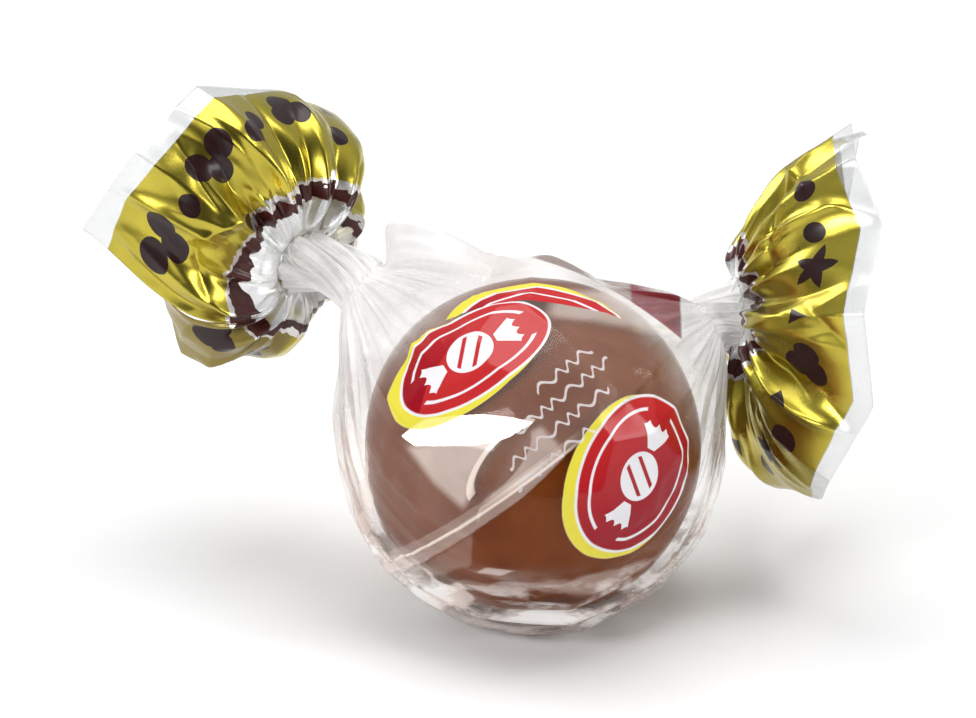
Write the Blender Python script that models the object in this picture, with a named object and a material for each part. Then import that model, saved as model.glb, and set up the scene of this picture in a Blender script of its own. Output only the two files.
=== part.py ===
"""Filled hard candy, twist-wrapped in clear film with a gold fan at each end.

A ball of brown hard candy lies in a tube of thin film.  The film is drawn over
the ball, gathered in pleats at both sides, twisted to a thin neck and left open
beyond the neck as a crumpled fan.  The closed wrapper is modelled as one solid:
the ball with its loose film, the two necks, and two fans of thin folded sheet.

Lengths are in metres.  +X runs along the wrapper to the right, +Y away from the
viewer, +Z up.  The origin is on the floor below the middle of the ball.
"""

import bpy
import numpy as np

MM = 0.001

# The ball of candy and the film round it
CANDY_RADIUS = 11.5 * MM
FILM_SLACK = 0.55 * MM             # film and the air under it, all over the ball
CENTRE_HEIGHT = 11.6 * MM          # a little under the film's radius: a flat to rest on

# The shoulders: from the ball the film is drawn to a neck at each side
SHOULDER_PLEATS = 14
PLEAT_DEPTH = 0.5 * MM
NECK_RADIUS = 2.1 * MM
NECK_PLEATS = 9
NECK_GROOVE = 0.25 * MM
TWIST_TURNS = 0.4                  # how far the pleats turn along a neck

# Folds of loose film over the ball:
# height in mm, degrees round the tube (0 up, 90 to the viewer) and along it
# (0 at the right neck, 180 at the left), and the width both ways in degrees
LOOSE_FOLDS = (
    (3.9, 336, 161, 18, 24),       # pushed up beside the left neck
    (1.4, 338, 90, 13, 38),        # low crest that runs on from it to the right
    (0.9, 152, 92, 15, 40),        # slack gathered under the ball
    (0.8, 100, 150, 12, 22),
    (0.7, 60, 38, 14, 18),
)

# The fans: the film beyond a neck, the same length all round the tube
FAN_LENGTH = 14.0 * MM
RIM_LENGTH = 80.0                  # mm of film round the tube
SHEET_THICKNESS = 0.5 * MM
FLOOR_RISE = 1.0 * MM              # film bunched in the neck, seen down the fan
FAN_PLEATS = 12
FAN_PLEAT_DEPTH = 0.35 * MM
CREASE_ROUNDING = 0.3              # 0 flat panels between the ribs, 1 a smooth curve

# Where each neck leaves the ball and where its fan starts, from the ball's centre,
# and the ribs of the fan, each from the neck to the rim:
# mm round the film, azimuth round the neck where it leaves it and at the rim (0 up,
# seen from the ball), angle to the neck's axis at the same two places (degrees), its
# share of the film's length, less than 1 where the film is folded in, and how late it
# bends: 1 evenly, more when most of the bend is near the rim
LEFT_END = {
    "neck_start": (-11.3, 5.9, 8.9),
    "root": (-15.6, 7.0, 10.3),
    "axis": (-0.73, 0.68, 0.08),
    "turn": -1,
    "ribs": (
        (3, 341, 341, 108, 12, 1.0, 1), (12, 306, 312, 96, 36, 1.0, 1), (18, 274, 299, 96, 8, 1.0, 1),
        (24, 256, 281, 88, -6, 1.04, 1), (31, 239, 240, 88, 62, 0.4, 1), (37, 221, 230, 82, -40, 0.86, 1),
        (43, 198, 197, 100, -14, 0.96, 1), (49, 168, 168, 102, -20, 1.0, 1), (55, 134, 134, 100, -32, 1.0, 1),
        (61, 98, 98, 100, -30, 1.0, 1), (68, 60, 60, 116, -26, 1.0, 1), (74, 24, 26, 114, -28, 1.0, 1),
    ),
}
RIGHT_END = {
    "neck_start": (11.7, 5.7, 6.1),
    "root": (13.9, 7.0, 6.9),
    "axis": (0.99, 0.15, 0.05),
    "turn": 1,
    "ribs": (
        (0, 2, 2, 78, 30, 1.0, 1), (6, 20, 20, 82, 24, 1.0, 1), (12, 42, 42, 90, 16, 1.0, 1),
        (20, 72, 72, 94, 20, 1.0, 1), (27, 98, 98, 90, 40, 1.0, 1), (33, 122, 122, 94, 40, 0.97, 1.4),
        (41, 150, 150, 97, 14, 0.93, 2.4), (49, 180, 178, 102, -6, 0.93, 2.6), (56, 216, 216, 95, -8, 0.88, 1.6),
        (62, 257, 257, 92, -28, 0.84, 1), (67, 294, 294, 88, -20, 0.9, 1), (74, 338, 338, 82, 8, 1.0, 1),
    ),
}

# How finely the film is divided
COLUMNS = 72                       # round the tube
BODY_ROWS = 32                     # from neck to neck
NECK_ROWS = 3
FAN_ROWS = 9
LINING_ROWS = 6                    # the inner side of a fan
RIB_STEPS = 60                     # short straight steps that add up to a rib

UP = np.array([0.0, 0.0, 1.0])
ROUND = 2 * np.pi * np.arange(COLUMNS) / COLUMNS


def unit(vector):
    """The vector at length one."""
    return np.asarray(vector, float) / np.linalg.norm(vector)


def across(axis):
    """Two directions square to an axis: the one nearest to up, and the one to the
    right of it for somebody who looks along the axis."""
    upward = unit(UP - (UP @ axis) * axis)
    return upward, np.cross(axis, upward)


def smooth(value, start, end):
    """0 before start, 1 after end, and an even S curve in between."""
    share = np.clip((value - start) / (end - start), 0.0, 1.0)
    return share * share * (3.0 - 2.0 * share)


def hill(angle, middle, width):
    """A round hill over an angle in degrees, on a circle that closes at 360."""
    offset = (angle - middle + 180.0) % 360.0 - 180.0
    return np.exp(-((offset / width) ** 2))


def ring(centre, axis, radius, azimuth):
    """Points at a radius and an azimuth round an axis."""
    upward, sideways = across(axis)
    return (centre + (radius * np.cos(azimuth))[:, None] * upward
            + (radius * np.sin(azimuth))[:, None] * sideways)


def taut_radius(along):
    """Distance of taut film from the ball's centre, at an angle along the tube: the
    ball's own radius, and beyond a shoulder the straight line from ball to neck."""
    ball = CANDY_RADIUS + FILM_SLACK
    farthest = ball
    for end, from_neck in ((RIGHT_END, along), (LEFT_END, np.pi - along)):
        neck_far = np.linalg.norm(end["neck_start"]) * MM
        leaves_ball = (np.arctan2(NECK_RADIUS, neck_far)
                       + np.arccos(ball / np.hypot(neck_far, NECK_RADIUS)))
        farthest = max(farthest, ball / np.cos(max(leaves_ball - from_neck, 0.0)))
    return farthest


def body_rings():
    """Rings of film from the right neck to the left one.  Each ring lies on a cone
    round an axis that swings from the right neck's direction to the left's."""
    right, left = unit(RIGHT_END["neck_start"]), unit(LEFT_END["neck_start"])
    first = np.arctan2(NECK_RADIUS / MM, np.linalg.norm(RIGHT_END["neck_start"]))
    last = np.pi - np.arctan2(NECK_RADIUS / MM, np.linalg.norm(LEFT_END["neck_start"]))
    around = np.degrees(ROUND)
    rings = []
    for along in np.linspace(first, last, BODY_ROWS):
        swing = smooth(along, 0.0, np.pi)
        axis = unit(right * (1 - swing) - left * swing)
        inward = np.degrees(min(along - first, last - along))
        gathered = (1 - smooth(inward, 25.0, 62.0)) * smooth(inward, 0.0, 12.0)
        pleats = -np.cos(SHOULDER_PLEATS * ROUND + 0.8 * np.sin(2 * ROUND))
        radius = taut_radius(along) + gathered * PLEAT_DEPTH * (0.6 + 0.5 * pleats)
        for height, middle, place, wide, long in LOOSE_FOLDS:
            radius = radius + (height * MM * hill(around, middle, wide) * smooth(inward, 0.0, 9.0)
                               * hill(np.degrees(along), place, long))
        rings.append(ring(0.0, axis, radius * np.sin(along), ROUND)
                     + (radius * np.cos(along))[:, None] * axis)
    return rings


def fan_azimuth(end):
    """Azimuth of every column of the film where it leaves the neck, from rib to rib."""
    place, azimuth = np.array([(where, angle) for where, angle, *_ in end["ribs"]], float).T
    azimuth = np.unwrap(np.radians(azimuth))
    whole = 2 * np.pi * end["turn"]
    place = np.concatenate((place[-1:] - RIM_LENGTH, place, place[:1] + RIM_LENGTH))
    azimuth = np.concatenate((azimuth[-1:] - whole, azimuth, azimuth[:1] + whole))
    return np.interp(RIM_LENGTH * np.arange(COLUMNS) / COLUMNS, place, azimuth)


def neck_rings(end):
    """Rings of a twisted neck from shoulder to fan: a round rod with grooves that wind
    round it, on a path that bends from the shoulder's direction to the fan's axis."""
    start, root = np.array(end["neck_start"]) * MM, np.array(end["root"]) * MM
    knee = start + 0.5 * np.linalg.norm(root - start) * unit(start)
    leaves = fan_azimuth(end)
    lag = leaves - end["turn"] * ROUND
    lag -= 2 * np.pi * np.round(lag.mean() / (2 * np.pi))
    rings = []
    for share in np.linspace(0.0, 1.0, NECK_ROWS + 1)[1:]:
        centre = (1 - share) ** 2 * start + 2 * share * (1 - share) * knee + share ** 2 * root
        axis = unit(unit(start) * (1 - share) + unit(end["axis"]) * share)
        groove = NECK_GROOVE * np.cos(NECK_PLEATS * ROUND + 2 * np.pi * TWIST_TURNS * share)
        rings.append(ring(centre, axis, NECK_RADIUS + groove * (1 - share),
                          end["turn"] * ROUND + lag * share))
    return rings


def rib(end, azimuth, rim_azimuth, flare, tip, length, late, share):
    """One rib of a fan: a curve of the film's length that leaves the neck at one angle
    to the axis and bends to another at the rim, while it swings from one azimuth to the
    other, most of the way near the neck."""
    step = 1.0 / RIB_STEPS
    middles = np.arange(step / 2, 1.0, step)
    angle = np.radians(flare + (tip - flare) * middles ** late)
    steps = length * FAN_LENGTH * step * np.array((np.cos(angle), np.sin(angle)))
    far, out = (np.interp(share, np.linspace(0.0, 1.0, RIB_STEPS + 1), np.append(0.0, np.cumsum(part)))
                for part in steps)
    out = out + NECK_RADIUS
    azimuth = np.radians(azimuth + (rim_azimuth - azimuth) * np.sin(0.5 * np.pi * share))
    axis = unit(end["axis"])
    upward, sideways = across(axis)
    outward = np.cos(azimuth)[:, None] * upward + np.sin(azimuth)[:, None] * sideways
    return np.array(end["root"]) * MM + far[:, None] * axis + out[:, None] * outward


def fan_sheet(end, rows):
    """Outer side of a fan as an array (row, column, xyz): panels stretched from rib to
    rib, a little rounded over the ribs, with pleats that run out of the neck."""
    share = np.linspace(0.0, 1.0, rows + 1)[1:]
    ribs = np.array([rib(end, *angles, share) for _, *angles in end["ribs"]])
    place = np.array([where for where, *_ in end["ribs"]], float)
    count = len(place)
    at = RIM_LENGTH * np.arange(COLUMNS) / COLUMNS
    at = np.where(at < place[0], at + RIM_LENGTH, at)
    before = np.searchsorted(place, at, side="right") - 1
    ends = np.append(place, place[0] + RIM_LENGTH)
    t = ((at - ends[before]) / (ends[before + 1] - ends[before]))[:, None, None]
    a, b, c, d = (ribs[(before + step) % count] for step in (-1, 0, 1, 2))
    flat = b + (c - b) * t
    curved = b + 0.5 * t * (c - a + t * (2 * a - 5 * b + 4 * c - d + t * (3 * (b - c) + d - a)))
    sheet = (flat + CREASE_ROUNDING * (curved - flat)).transpose(1, 0, 2)
    depth = FAN_PLEAT_DEPTH * smooth(share, 0.0, 0.22) * (1 - 0.7 * smooth(share, 0.3, 0.9))
    normal = sheet_normal(sheet, end["turn"])
    pleated = sheet + (depth[:, None] * np.cos(FAN_PLEATS * ROUND))[..., None] * normal
    lined = sheet - (SHEET_THICKNESS + depth)[:, None, None] * normal
    lined[-1] = pleated[-1] - SHEET_THICKNESS * normal[-1]
    return pleated, lined


def sheet_normal(sheet, turn):
    """Outward directions of a sheet given as an array (row, column, xyz)."""
    down = np.gradient(sheet, axis=0)
    sideways = np.roll(sheet, -1, axis=1) - np.roll(sheet, 1, axis=1)
    normal = np.cross(sideways, down) * turn
    return normal / np.linalg.norm(normal, axis=2, keepdims=True)


def fan_rings(end):
    """Rings of one fan: its outer side to the rim, then its inner side back to the
    neck, and a floor that closes it over the neck."""
    outer, inner = fan_sheet(end, FAN_ROWS)
    picks = np.linspace(FAN_ROWS - 1, 2, LINING_ROWS).round().astype(int)
    inside = [inner[row] for row in picks]
    middle = np.array(end["root"]) * MM + FLOOR_RISE * unit(end["axis"])
    return list(outer) + inside + [middle + 0.4 * (inside[-1] - middle)]


def closed_solid(name, rings, material):
    """One closed mesh on the floor from rings of equal count, each end closed by
    triangles to a point in its middle."""
    points = np.concatenate(rings + [[rings[0].mean(axis=0), rings[-1].mean(axis=0)]])
    points[:, 2] = np.maximum(points[:, 2] + CENTRE_HEIGHT, 0.0)
    faces = []
    for row in range(len(rings) - 1):
        for column in range(COLUMNS):
            beside = (column + 1) % COLUMNS
            a, b = row * COLUMNS + column, row * COLUMNS + beside
            c, d = b + COLUMNS, a + COLUMNS
            faces += [(a, c, b), (a, d, c)]
    last = (len(rings) - 1) * COLUMNS
    for column in range(COLUMNS):
        beside = (column + 1) % COLUMNS
        faces.append((len(points) - 2, column, beside))
        faces.append((len(points) - 1, last + beside, last + column))
    mesh = bpy.data.meshes.new(name)
    mesh.from_pydata(points.tolist(), [], faces)
    mesh.validate()
    mesh.shade_smooth()
    mesh.materials.append(material)
    return bpy.data.objects.new(name, mesh)


def film_over_candy():
    """Brown candy seen through clear film."""
    material = bpy.data.materials.new("film_over_candy")
    material.use_nodes = True
    shader = material.node_tree.nodes["Principled BSDF"]
    shader.inputs["Base Color"].default_value = (0.30, 0.15, 0.09, 1.0)
    shader.inputs["Roughness"].default_value = 0.25
    shader.inputs["Metallic"].default_value = 0.0
    return material


for leftover in list(bpy.data.objects):
    bpy.data.objects.remove(leftover, do_unlink=True)

collection = bpy.data.collections.new("filled_hard_candy")
bpy.context.scene.collection.children.link(collection)

rings = (fan_rings(RIGHT_END)[::-1] + neck_rings(RIGHT_END)[::-1] + body_rings()
         + neck_rings(LEFT_END) + fan_rings(LEFT_END))
collection.objects.link(closed_solid("wrapped_candy", rings, film_over_candy()))
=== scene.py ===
"""Filled hard candy, twist-wrapped in clear printed film with a gold fan at each end.

Every object is in metres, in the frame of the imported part: +X along the wrapper to its
right fan, +Y away from the viewer of the photograph, +Z up, and the origin on the floor
below the middle of the candy.  The sections follow the sweet as it is put together.
"""

import bpy
import numpy as np
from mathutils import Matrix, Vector


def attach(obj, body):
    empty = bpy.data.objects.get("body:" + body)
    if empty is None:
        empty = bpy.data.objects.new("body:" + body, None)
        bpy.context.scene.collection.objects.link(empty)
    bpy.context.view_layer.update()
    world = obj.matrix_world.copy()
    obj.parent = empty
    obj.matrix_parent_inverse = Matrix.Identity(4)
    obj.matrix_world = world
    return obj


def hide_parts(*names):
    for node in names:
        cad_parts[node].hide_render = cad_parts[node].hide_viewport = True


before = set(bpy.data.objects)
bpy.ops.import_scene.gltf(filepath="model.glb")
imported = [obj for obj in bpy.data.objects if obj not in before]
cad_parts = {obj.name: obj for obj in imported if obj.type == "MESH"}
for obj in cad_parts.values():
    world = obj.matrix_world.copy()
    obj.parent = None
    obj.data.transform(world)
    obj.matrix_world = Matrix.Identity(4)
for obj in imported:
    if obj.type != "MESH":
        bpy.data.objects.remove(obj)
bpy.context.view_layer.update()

# ------------------------------
# The candy: a ball of boiled sugar pressed round its filling in a two-part mould, so it
# has a faint seam and slight flats.  Brown, glossy, a little cloudy under its skin.
# ------------------------------

MM = 0.001
CENTRE = np.array([0.0, 0.0, 11.6]) * MM  # middle of the ball
CANDY_RADIUS = 11.35 * MM
CANDY_ROWS, CANDY_COLUMNS = 120, 200
SEAM_HEIGHT = 0.07 * MM
SEAM_WIDTH = 0.5 * MM
FLAT_DEPTH = 0.10 * MM
AMBER = (0.135, 0.025, 0.0018)
MILK_BROWN = (0.22, 0.062, 0.014)
DEEP_REDDEST = (1.0, 0.35, 0.12)  # how far each colour of light goes in sugar
SUGAR_DEPTH = 2.0 * MM


def unit(vectors):
    """Each vector of an array, divided by its length."""
    vectors = np.asarray(vectors, float)
    return vectors / np.linalg.norm(vectors, axis=-1, keepdims=True)


def smooth(value, start, end):
    """0 before start, 1 after end, and between them 3x^2 - 2x^3 of the share x."""
    share = np.clip((value - start) / (end - start), 0.0, 1.0)
    return share * share * (3.0 - 2.0 * share)


def placed(name, data):
    """A new object in the scene, with this mesh, lamp or camera."""
    thing = bpy.data.objects.new(name, data)
    bpy.context.scene.collection.objects.link(thing)
    return thing


def piece_from_grid(name, points, maps=None, closed=True, capped=False):
    """A mesh from a grid of points (row, column, xyz), with square faces between
    neighbours.  closed joins the last column to the first, and capped adds a point in the
    middle of the first and the last row.  maps gives each point its place on flat film."""
    rows, columns = points.shape[:2]
    here = np.arange(rows * columns).reshape(rows, columns)
    beside = np.roll(here, -1, axis=1)
    faces = np.stack([here[:-1], here[1:], beside[1:], beside[:-1]], axis=-1)
    faces = (faces if closed else faces[:, :-1]).reshape(-1, 4)
    vertices, loops = points.reshape(-1, 3), faces.ravel()
    faces = faces.tolist()
    if capped:
        vertices = np.concatenate([vertices, points[0].mean(0)[None], points[-1].mean(0)[None]])
        first = np.stack([np.full(columns, rows * columns), here[0], beside[0]], axis=-1)
        last = np.stack([np.full(columns, rows * columns + 1), beside[-1], here[-1]], axis=-1)
        faces += first.tolist() + last.tolist()
    mesh = bpy.data.meshes.new(name)
    mesh.from_pydata(vertices.tolist(), [], faces)
    mesh.shade_smooth()
    if maps is not None:
        places = maps.reshape(-1, 2)[loops].astype(np.float32)
        mesh.uv_layers.new(name="film").uv.foreach_set("vector", places.ravel())
    return placed(name, mesh)


def candy_surface(rows, columns):
    """Radius times direction.  The radius has a narrow ridge round the middle, the mould's
    seam, and sinks a little where a slow cosine of the three coordinates is low."""
    polar = np.linspace(0.0, np.pi, rows + 2)[1:-1, None]
    turn = 2 * np.pi * np.arange(columns)[None, :] / columns
    spot = np.stack(np.broadcast_arrays(np.cos(polar), np.sin(polar) * np.cos(turn),
                                        np.sin(polar) * np.sin(turn)), axis=-1)
    from_seam = (polar - np.pi / 2) * CANDY_RADIUS
    seam = SEAM_HEIGHT * np.exp(-((from_seam / SEAM_WIDTH) ** 2))
    flats = FLAT_DEPTH * np.cos(4.0 * spot[..., 0] + 1.0) * np.cos(5.0 * spot[..., 2] - 3.0 * spot[..., 1])
    radius = CANDY_RADIUS - FLAT_DEPTH + flats + seam
    return CENTRE + radius[..., None] * spot


def math(operation):
    """A wire's method that adds the Math node of this operation, on the wire and others."""
    return lambda wire, *others: wire.finish.math(operation, wire, *others)


class Wire:
    """One output of a material's node.  Sums, products and comparisons of wires and
    numbers add the Math nodes that work them out."""

    def __init__(self, finish, socket):
        self.finish, self.socket = finish, socket

    def __rsub__(self, other):
        return self.finish.math("SUBTRACT", other, self)

    __add__ = math("ADD")
    __sub__ = math("SUBTRACT")
    __mul__ = math("MULTIPLY")
    __truediv__ = math("DIVIDE")
    __pow__ = math("POWER")
    __lt__ = math("LESS_THAN")
    __gt__ = math("GREATER_THAN")
    __abs__ = math("ABSOLUTE")
    sine = math("SINE")
    floor = math("FLOOR")
    turn_to = math("ARCTAN2")
    larger = math("MAXIMUM")
    smaller = math("MINIMUM")

    def step(self, low, high):
        """0 below low, 1 above high, smooth between them; low may be the larger."""
        settings = {"interpolation_type": "SMOOTHSTEP"}
        if low < high:
            return self.finish.add("ShaderNodeMapRange", settings, (self, low, high, 0.0, 1.0))
        return self.finish.add("ShaderNodeMapRange", settings, (self, high, low, 1.0, 0.0))


class Finish:
    """The nodes of a new material or world, and the ways in which they are put in."""

    def __init__(self, owner):
        self.owner = owner
        owner.use_nodes = True
        self.tree = owner.node_tree
        self.tree.nodes.clear()

    def add(self, kind, settings=None, inputs=(), output=0):
        """A node of this kind: first its settings, then the values or wires of its
        sockets, by number or by name.  Gives back one of its outputs."""
        node = self.tree.nodes.new(kind)
        for name, value in (settings or {}).items():
            setattr(node, name, value)
        for key, value in (inputs.items() if isinstance(inputs, dict) else enumerate(inputs)):
            if isinstance(value, Wire):
                self.tree.links.new(value.socket, node.inputs[key])
            elif isinstance(value, tuple) and node.inputs[key].type == "RGBA":
                node.inputs[key].default_value = (*value, 1.0)
            elif value is not None:
                node.inputs[key].default_value = value
        return Wire(self, node.outputs[output])

    def place(self):
        """The point of the surface, in the object's own coordinates."""
        return self.add("ShaderNodeTexCoord", output=3)

    def stretched(self, place, turn, scale):
        """A place turned by angles and scaled along the three axes."""
        return self.add("ShaderNodeMapping", None, {0: place, 2: turn, 3: scale})

    def math(self, operation, *values):
        return self.add("ShaderNodeMath", {"operation": operation}, values)

    def vector(self, operation, *values, output=0):
        return self.add("ShaderNodeVectorMath", {"operation": operation}, values, output)

    def dot(self, first, second):
        return self.vector("DOT_PRODUCT", first, tuple(second), output=1)

    def part(self, vector, axis):
        """The x (0), the y (1) or the z (2) of a vector."""
        return self.add("ShaderNodeSeparateXYZ", None, (vector,), output=axis)

    def mix(self, share, first, second):
        """A colour that goes from the first to the second with the share."""
        inputs = {0: share, 6: first, 7: second}
        return self.add("ShaderNodeMix", {"data_type": "RGBA"}, inputs, output=2)

    def noise(self, place, scale, detail=3.0, roughness=0.5, ridged=False):
        """Soft random clouds, or with ridged a web of sharp creases."""
        settings = {"noise_type": "RIDGED_MULTIFRACTAL" if ridged else "FBM"}
        inputs = {"Vector": place, "Scale": scale, "Detail": detail, "Roughness": roughness}
        return self.add("ShaderNodeTexNoise", settings, inputs)

    def glance(self, blend):
        """0 where the surface is seen square on, and up to 1 where it is seen edge on."""
        return self.add("ShaderNodeLayerWeight", None, {"Blend": blend}, output=1)

    def bump(self, height, distance, strength, normal=None):
        inputs = {"Height": height, "Distance": distance, "Strength": strength, "Normal": normal}
        return self.add("ShaderNodeBump", None, inputs)

    def principled(self, **inputs):
        """A Principled shader; underscores in the names stand for spaces."""
        named = {name.replace("_", " "): value for name, value in inputs.items()}
        return self.add("ShaderNodeBsdfPrincipled", None, named)

    def over_clear(self, cover, shader):
        """The shader as far as the cover goes, and nothing but clear film for the rest."""
        clear = self.add("ShaderNodeBsdfTransparent")
        return self.add("ShaderNodeMixShader", None, (cover, clear, shader))

    def end(self, shader, kind="ShaderNodeOutputMaterial"):
        """The material or world, once this shader is on its surface."""
        self.tree.links.new(shader.socket, self.tree.nodes.new(kind).inputs["Surface"])
        return self.owner


def boiled_sugar():
    """Amber sugar with a milky bloom in soft clouds, pulled streaks and a fine grain."""
    sugar = Finish(bpy.data.materials.new("boiled_sugar"))
    place = sugar.place()
    pulled = sugar.stretched(place, (0.5, 0.2, 0.9), (1.0, 3.5, 1.0))
    clouds = sugar.noise(place, scale=130.0, detail=4.0, roughness=0.55)
    streaks = sugar.noise(pulled, scale=260.0, detail=5.0, roughness=0.6)
    grain = sugar.noise(place, scale=2600.0, detail=2.0)
    bloom = (clouds * 0.6 + streaks * 0.4).step(0.40, 0.62)
    height = clouds * 0.7 + grain * 0.05
    return sugar.end(sugar.principled(
        Base_Color=sugar.mix(bloom * 0.5, AMBER, MILK_BROWN), Roughness=streaks * 0.16 + 0.14,
        Specular_IOR_Level=0.06, Subsurface_Weight=0.25, Subsurface_Scale=SUGAR_DEPTH,
        Subsurface_Radius=DEEP_REDDEST, Normal=sugar.bump(height, distance=0.25 * MM, strength=0.4)))


candy = piece_from_grid("candy", candy_surface(CANDY_ROWS, CANDY_COLUMNS), capped=True)
candy.data.materials.append(boiled_sugar())
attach(candy, "root")
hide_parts("wrapped_candy")

# ------------------------------
# The clear film over the ball: the tube of thin film is drawn tight over the candy, and
# its spare width stands in pleats and sharp creases that run in to the neck at each side.
# ------------------------------

FILM_RADIUS = 11.6 * MM  # taut film on the candy
NECK_RADIUS = 2.0 * MM
COLUMNS = 360  # round the tube
BODY_ROWS = 190
NECK_ROWS = 30
FLOOR_GAP = 0.02 * MM
ROUND = 2 * np.pi * np.arange(COLUMNS) / COLUMNS
RANDOM = np.random.default_rng(8)

# Each end: where its neck leaves the ball and where its fan starts, in mm from the
# ball's middle, the way the fan points, and the side to which its film turns
LEFT = {"neck_start": (-11.3, 5.9, 8.9), "root": (-15.6, 7.0, 10.3), "axis": (-0.73, 0.68, 0.08), "turn": -1}
RIGHT = {"neck_start": (11.7, 5.7, 6.1), "root": (13.9, 7.0, 6.9), "axis": (0.99, 0.15, 0.05), "turn": 1}

# The twisted neck: grooves by their number round it and their height as a share of its
# radius, how far it winds, and the funnel of film that closes it towards the fan
NECK_GROOVES = ((7, 0.40), (16, 0.28), (37, 0.12))
GROOVE_DEPTH = 0.34
GROOVE_TWIST, NECK_TWIST, FUNNEL_TWIST = 2.6, 0.9, 1.3
WAIST = 0.16
FUNNEL_ROWS = 12
FUNNEL_DEPTH = 1.7 * MM
FUNNEL_PLEATS = 0.45
FUNNEL_TIP = 0.03 * MM

# Pleats from each neck: their number round the tube, height in mm, and reach in degrees
NECK_PLEATS = ((15, 0.34, 50.0), (27, 0.26, 40.0), (49, 0.16, 30.0))
PLEAT_LEAN = 1.2
TAUT_FROM, TAUT_TO = 8.0, 34.0  # degrees from the neck in which the film gets taut

# Long folds of spare film: height in mm, degrees round the tube (0 up, 90 to the viewer)
# and along it (0 at the right neck, 180 at the left), and its width both ways
LONG_FOLDS = (
    (3.9, 336, 161, 18, 24), (1.2, 342, 92, 11, 37), (0.6, 320, 84, 10, 26),
    (0.8, 206, 88, 9, 28), (0.7, 100, 148, 8, 18), (0.6, 78, 144, 5, 14), (0.5, 52, 150, 5, 14),
    (0.8, 70, 32, 7, 16), (0.6, 104, 30, 7, 16), (0.6, 40, 34, 6, 14),
)

# Waves of the slack film under the ball: number round it, height in mm, and how far they
# wander; and where it is slack: degrees round the tube, width and share
UNDERSIDE_WAVES = ((26, 0.30, 2.2), (47, 0.22, 3.4), (83, 0.12, 5.0))
UNDERSIDE = ((148, 30, 1.0), (205, 40, 0.7))

# Where the flat facets of the taut film touch the candy, and the creases between them.
# A shown point is so many mm right of the ball's middle in the photograph, and above it
VIEW_ELEVATION = np.radians(25.0)
FRONT_FACETS = (
    (-3.9, 0.95), (-4.3, 3.0), (-5.2, 5.6), (-4.2, -1.0), (-4.7, -3.0), (-9.0, -4.6), (-10.8, -0.6),
    (-5.7, -6.7), (-9.0, 3.6), (-1.6, 7.4), (2.1, -0.7), (1.7, 3.6), (7.0, -1.9), (9.3, 2.7), (5.2, 6.6),
    (2.2, 9.4), (-1.9, 10.4), (2.4, -5.4), (7.2, -7.4), (-1.4, -9.0), (10.9, -0.6), (7.8, 7.4),
)
FACET_GAP = np.radians(15.0)  # no spare facet is this near to a shown one
SPARE_FACETS = 190
FLATNESS = 0.8  # 0 the ball's own curve, 1 quite flat facets
FRONT_CREASES = (
    # from one point to another, and the height of the fold in mm
    (-9.9, 0.6, -10.0, -7.6, 0.16), (-8.9, 0.0, -4.0, -3.9, 0.10), (-9.4, -7.4, -2.6, -4.2, 0.10),
    (-3.6, -4.0, -2.4, 0.2, 0.07), (5.2, 6.4, 9.8, 2.2, 0.10), (8.6, 6.6, 10.9, -2.8, 0.12),
    (-7.2, 8.5, 1.3, 9.5, 0.16), (1.3, 9.5, 6.4, 8.6, 0.12),
)
CREASE_WIDTH = 0.35 * MM
SMALL_CREASES = 80
LAP_LINE = ((-10.0, -7.6), (2.2, -0.3))  # the free edge where the sheet laps over itself
LAP_WIDTH = 13.0
LAP_STEP = 0.10
CREST_SHARPNESS = 0.985  # of a folded wave: 1 has quite sharp crests


def across(axis):
    """Two directions square to each axis: the nearest to up, and the one to its right."""
    up = np.array([0.0, 0.0, 1.0])
    upward = unit(up - (axis @ up)[..., None] * axis)
    return upward, np.cross(axis, upward)


def view_axes():
    """The directions to the viewer of the photograph, to its right, and up in it."""
    sine, cosine = np.sin(VIEW_ELEVATION), np.cos(VIEW_ELEVATION)
    return np.array([[0.0, -cosine, sine], [1.0, 0.0, 0.0], [0.0, sine, cosine]])


def seen(right, above):
    """The direction from the ball's middle to a shown point: the third coordinate, to the
    viewer, completes the radius, and all three are turned by the camera's elevation."""
    right, above = np.asarray(right) * MM, np.asarray(above) * MM
    near = np.sqrt(np.maximum(FILM_RADIUS ** 2 - right ** 2 - above ** 2, 0.0))
    sine, cosine = np.sin(VIEW_ELEVATION), np.cos(VIEW_ELEVATION)
    return unit(np.stack([right, above * sine - near * cosine, above * cosine + near * sine], axis=-1))


def hill(angle, middle, width):
    """exp(-(offset / width)^2) of an angle in degrees, on a circle that closes at 360."""
    return np.exp(-(((angle - middle + 180.0) % 360.0 - 180.0) / width) ** 2)


def ridge(distance, width):
    """A fold's cross-section: a sharp crest whose sides flatten out, exp(-|d| / width)."""
    return np.exp(-np.sqrt((distance / width) ** 2 + 0.01))


def folded_wave(phase):
    """A wave of flat sides and sharp crests, from -1 to 1: the arc sine of the sine."""
    return np.arcsin(CREST_SHARPNESS * np.sin(phase)) / np.arcsin(CREST_SHARPNESS)


def uneven_phase(count, around, spread):
    """A phase that turns `count` times round the tube, plus five slow random sines."""
    phase = count * around
    for turns in range(1, 6):
        phase = phase + spread / turns * np.sin(turns * around + RANDOM.uniform(0, 2 * np.pi))
    return phase + RANDOM.uniform(0, 2 * np.pi)


def taut_radius(along):
    """Distance of taut film from the ball's middle: the ball's radius, and beyond each
    shoulder the straight line from the ball to the neck."""
    farthest = np.full_like(along, FILM_RADIUS)
    for end, from_neck in ((RIGHT, along), (LEFT, np.pi - along)):
        reach = np.linalg.norm(end["neck_start"]) * MM
        shoulder = np.arctan2(NECK_RADIUS, reach) + np.arccos(FILM_RADIUS / np.hypot(reach, NECK_RADIUS))
        farthest = np.maximum(farthest, FILM_RADIUS / np.cos(np.maximum(shoulder - from_neck, 0.0)))
    return farthest


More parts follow.
